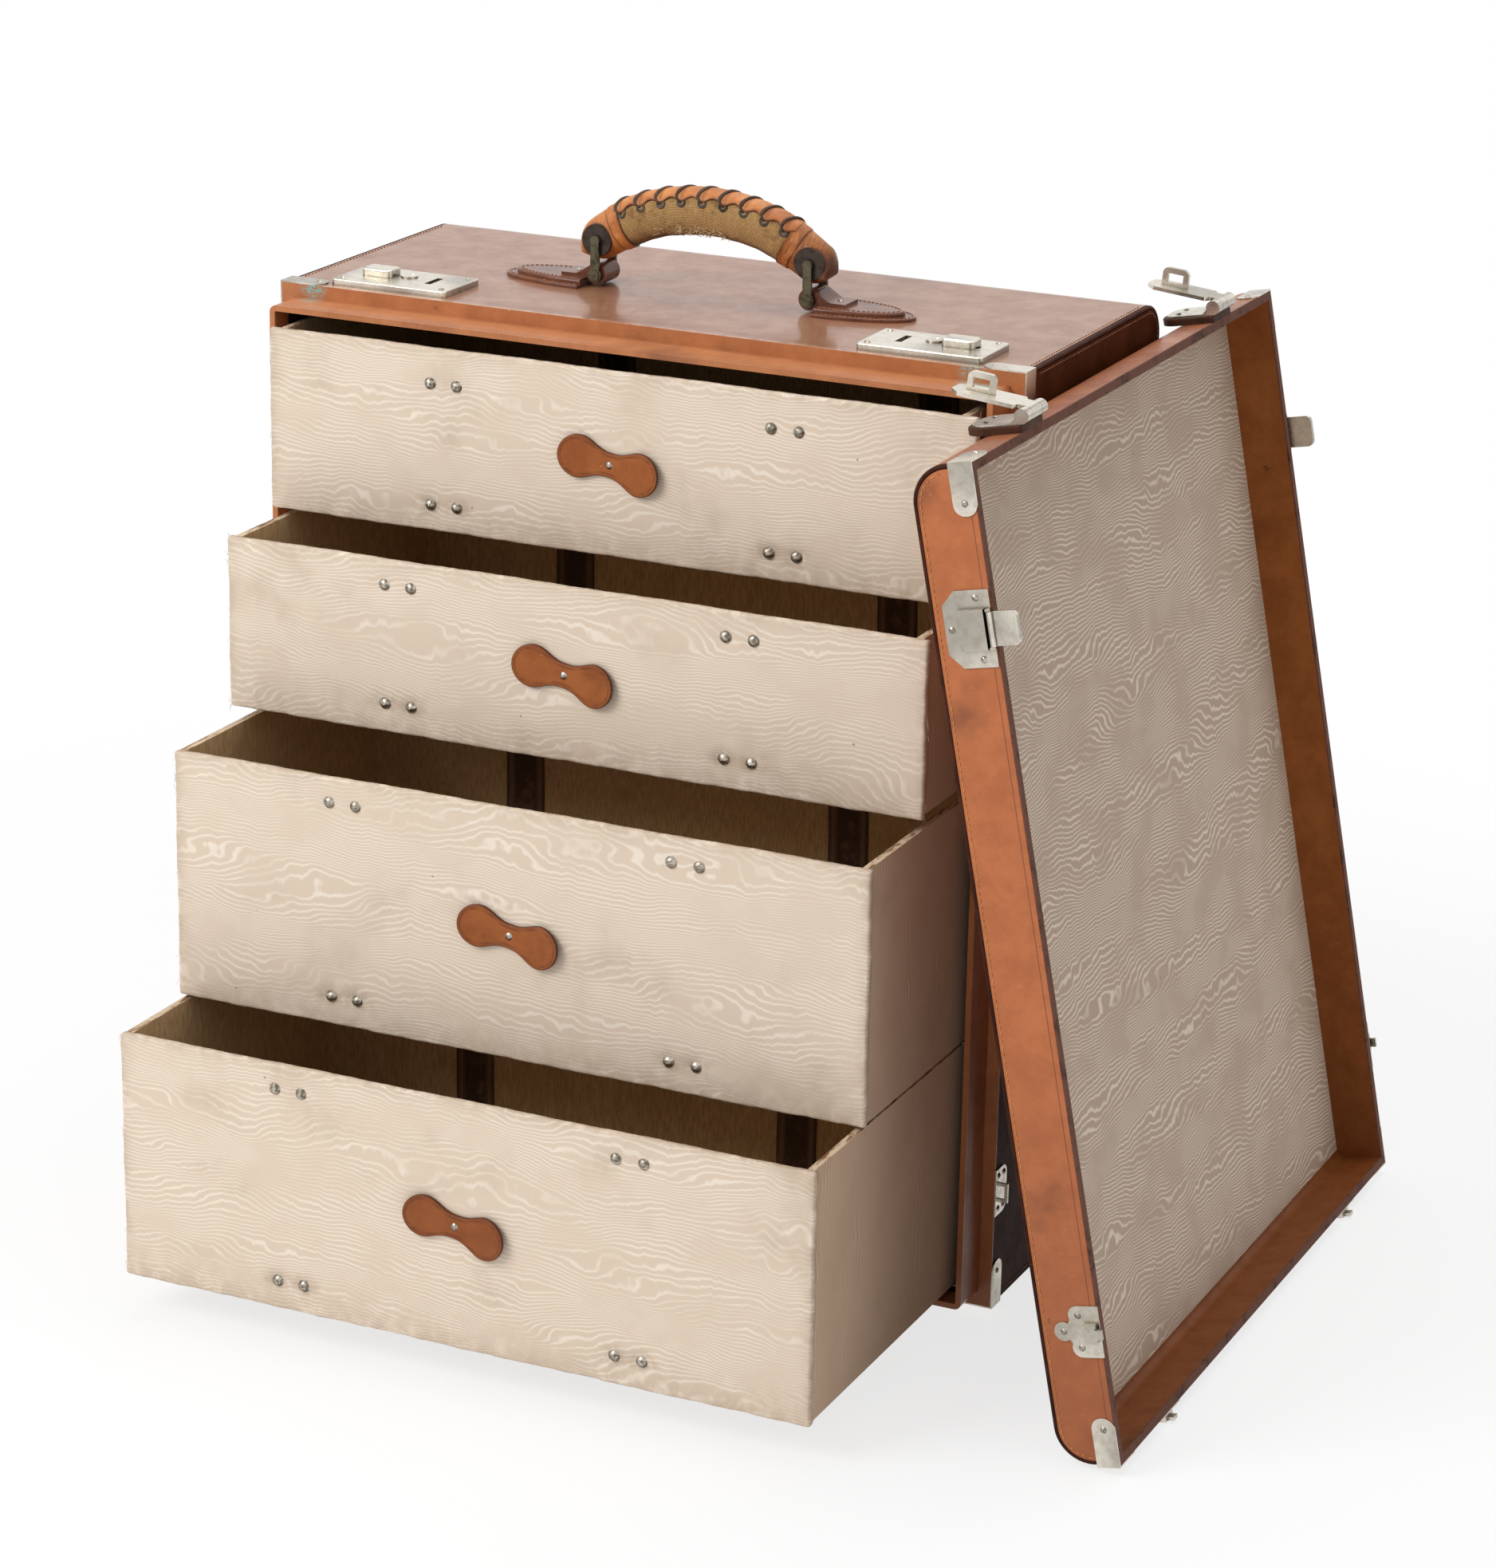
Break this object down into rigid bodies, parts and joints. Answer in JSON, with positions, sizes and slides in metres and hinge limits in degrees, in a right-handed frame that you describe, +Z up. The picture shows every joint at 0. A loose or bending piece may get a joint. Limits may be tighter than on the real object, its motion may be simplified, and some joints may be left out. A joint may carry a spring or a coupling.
{
  "type": "wardrobe trunk",
  "caption": "Upright leather wardrobe trunk with silk-faced drawers on runners, a swinging carrying handle, sliding-button locks and a lift-off lid leaning at its side.",
  "frame": {"origin": "centre of the flat underside of the case, one foot height above the floor", "axes": "+Z up, -Y towards the drawers' fronts, +X towards the leaning lid"},
  "size_m": [0.7262, 0.6385, 0.7399],
  "materials": {
    "plywood": "plain board",
    "brown_leather": "aged, half gloss",
    "dark_leather": "aged, half gloss",
    "tan_leather": "worn",
    "seam_leather": "worn",
    "binding_cloth": "matte",
    "lining": "matte",
    "steel": "dull",
    "nickel": "worn nickel plate",
    "board": "silk-covered board",
    "cream_silk": "watered silk",
    "grey_silk": "watered silk",
    "canvas": "woven",
    "lace": "worn",
    "black_metal": "worn",
    "bronze_green": "tarnished"
  },
  "bodies": {
    "case": {"carcass_box": "plywood", "leather_wrap": "brown_leather", "side_leather": "dark_leather", "seam_piping": "seam_leather", "lip_leather": "tan_leather", "inner_frame": "lining", "back_lining": "lining", "drawer_runners": "steel", "corner_straps": "nickel", "carcass_rivets": "nickel", "lock_plates": "nickel", "lock_cases": "steel", "handle_pads": "brown_leather", "handle_chapes": "brown_leather", "loop_plates": "nickel", "catch_keepers": "nickel", "feet": "nickel"},
    "drawer_1": {"drawer_1_box": "board", "drawer_1_front": "cream_silk", "drawer_1_rivets": "nickel", "drawer_1_pull": "tan_leather"},
    "drawer_2": {"drawer_2_box": "board", "drawer_2_front": "cream_silk", "drawer_2_rivets": "nickel", "drawer_2_pull": "tan_leather"},
    "drawer_3": {"drawer_3_box": "board", "drawer_3_front": "cream_silk", "drawer_3_rivets": "nickel", "drawer_3_pull": "tan_leather"},
    "drawer_4": {"drawer_4_box": "board", "drawer_4_front": "cream_silk", "drawer_4_rivets": "nickel", "drawer_4_pull": "tan_leather"},
    "lid": {"lid_shell": "plywood", "lid_wrap": "brown_leather", "lid_side_leather": "tan_leather", "lid_piping": "seam_leather", "lid_binding": "binding_cloth", "lid_silk_panel": "grey_silk", "lid_inner_leather": "tan_leather", "lid_corner_straps": "nickel", "lid_rivets": "nickel", "catch_plates": "nickel", "hook_plates": "nickel", "hasp_pads": "dark_leather", "hasp_bases": "nickel"},
    "hasp_near": {"hasp_strap_near": "nickel"},
    "catch_near": {"catch_tongue_near": "nickel"},
    "hasp_far": {"hasp_strap_far": "nickel"},
    "catch_far": {"catch_tongue_far": "nickel"},
    "left_shackle": {"shackle_left": "bronze_green"},
    "right_shackle": {"shackle_right": "bronze_green"},
    "grip": {"grip_core": "canvas", "grip_leather": "tan_leather", "grip_lacing": "lace", "grip_fittings": "black_metal"},
    "button_left": {"lock_button_left": "nickel"},
    "cover_left": {"keyhole_cover_left": "nickel"},
    "button_right": {"lock_button_right": "nickel"},
    "cover_right": {"keyhole_cover_right": "nickel"}
  },
  "joints": [
    {"name": "drawer_1_slide", "type": "slide", "parent": "case", "child": "drawer_1", "axis": [0, -1, 0], "range_m": [-0.012, 0.22]},
    {"name": "drawer_2_slide", "type": "slide", "parent": "case", "child": "drawer_2", "axis": [0, -1, 0], "range_m": [-0.076, 0.156]},
    {"name": "drawer_3_slide", "type": "slide", "parent": "case", "child": "drawer_3", "axis": [0, -1, 0], "range_m": [-0.152, 0.08]},
    {"name": "drawer_4_slide", "type": "slide", "parent": "case", "child": "drawer_4", "axis": [0, -1, 0], "range_m": [-0.227, 0.005]},
    {"name": "lid_lift", "type": "slide", "parent": "case", "child": "lid", "axis": [0.6, 0, 0.8], "range_m": [0, 0.6]},
    {"name": "hasp_near_hinge", "type": "hinge", "parent": "lid", "child": "hasp_near", "pos_m": [0.31124, -0.206, 0.65237], "axis": [0, -1, 0], "range_deg": [-163, 0]},
    {"name": "hasp_far_hinge", "type": "hinge", "parent": "lid", "child": "hasp_far", "pos_m": [0.31124, 0.144, 0.65237], "axis": [0, -1, 0], "range_deg": [-163, 0]},
    {"name": "catch_near_hinge", "type": "hinge", "parent": "lid", "child": "catch_near", "pos_m": [0.33102, -0.3093, 0.54119], "axis": [0.1925, 0, -0.9813], "range_deg": [0, 100]},
    {"name": "catch_far_hinge", "type": "hinge", "parent": "lid", "child": "catch_far", "pos_m": [0.33102, 0.2473, 0.54119], "axis": [-0.1925, 0, 0.9813], "range_deg": [0, 100]},
    {"name": "shackle_left_hinge", "type": "hinge", "parent": "case", "child": "left_shackle", "pos_m": [-0.08, -0.0215, 0.6635], "axis": [0, 1, 0], "range_deg": [-45, 45]},
    {"name": "grip_hinge", "type": "hinge", "parent": "left_shackle", "child": "grip", "pos_m": [-0.08, -0.0215, 0.6875], "axis": [0, 1, 0], "range_deg": [-45, 45]},
    {"name": "shackle_right_hinge", "type": "hinge", "parent": "case", "child": "right_shackle", "pos_m": [0.08, -0.0215, 0.6635], "axis": [0, 1, 0], "range_deg": [-45, 45]},
    {"name": "lock_button_left_slide", "type": "slide", "parent": "case", "child": "button_left", "axis": [-1, 0, 0], "range_m": [0, 0.008], "stiffness_N_per_m": 300},
    {"name": "keyhole_cover_left_hinge", "type": "hinge", "parent": "case", "child": "cover_left", "pos_m": [-0.196, -0.083, 0.6595], "axis": [0, 0, 1], "range_deg": [0, 100]},
    {"name": "lock_button_right_slide", "type": "slide", "parent": "case", "child": "button_right", "axis": [1, 0, 0], "range_m": [0, 0.008], "stiffness_N_per_m": 300},
    {"name": "keyhole_cover_right_hinge", "type": "hinge", "parent": "case", "child": "cover_right", "pos_m": [0.196, -0.083, 0.6595], "axis": [0, 0, -1], "range_deg": [0, 100]}
  ],
  "couplings": [
    {"joint": "grip_hinge", "follows": "shackle_left_hinge", "ratio": -1},
    {"joint": "shackle_right_hinge", "follows": "shackle_left_hinge", "ratio": 1}
  ]
}
